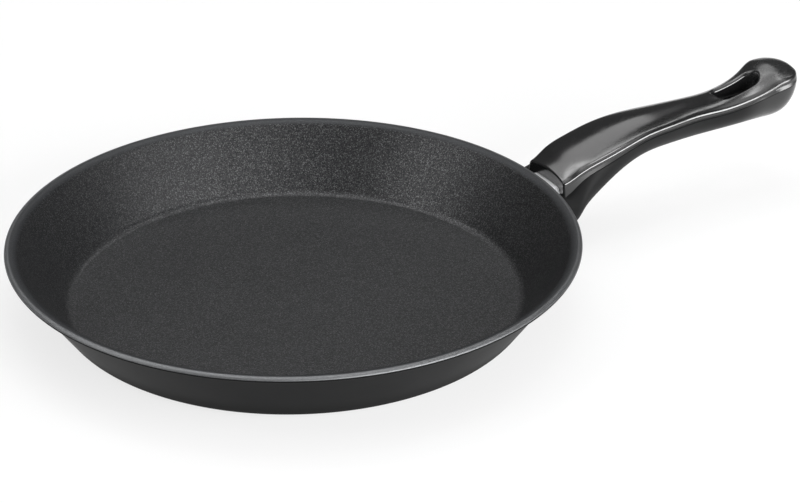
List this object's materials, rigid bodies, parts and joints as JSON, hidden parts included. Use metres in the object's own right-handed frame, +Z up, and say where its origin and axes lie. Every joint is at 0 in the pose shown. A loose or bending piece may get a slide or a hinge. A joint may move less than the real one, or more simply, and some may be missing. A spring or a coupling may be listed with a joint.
{
  "type": "omelette pan",
  "caption": "Shallow non-stick omelette pan with a flared lip and a curved black handle, screwed to a steel bracket on the wall, with a hanging slot in its raised end.",
  "frame": {"origin": "centre of the flat base, on the table", "axes": "+X from the pan's axis along the handle, +Z up out of the pan, +Y completes a right-handed frame"},
  "size_m": [0.4379, 0.28, 0.0634],
  "materials": {
    "nonstick_coat": "dark grey non-stick coat on pressed aluminium, fine metallic speckle",
    "handle_moulding": "black phenolic moulding, gloss above the mould joint and finer satin below",
    "bracket_steel": "polished stainless sheet",
    "stud_aluminium": "plain, heads formed cold",
    "screw_steel": "zinc-plated steel"
  },
  "bodies": {
    "root": {"pan_body": "nonstick_coat", "handle_bracket": "bracket_steel", "bracket_studs": "stud_aluminium", "bracket_nut": "screw_steel", "handle_grip": "handle_moulding", "handle_screw": "screw_steel", "spring_washer": "screw_steel", "flat_washer": "screw_steel"}
  },
  "joints": []
}
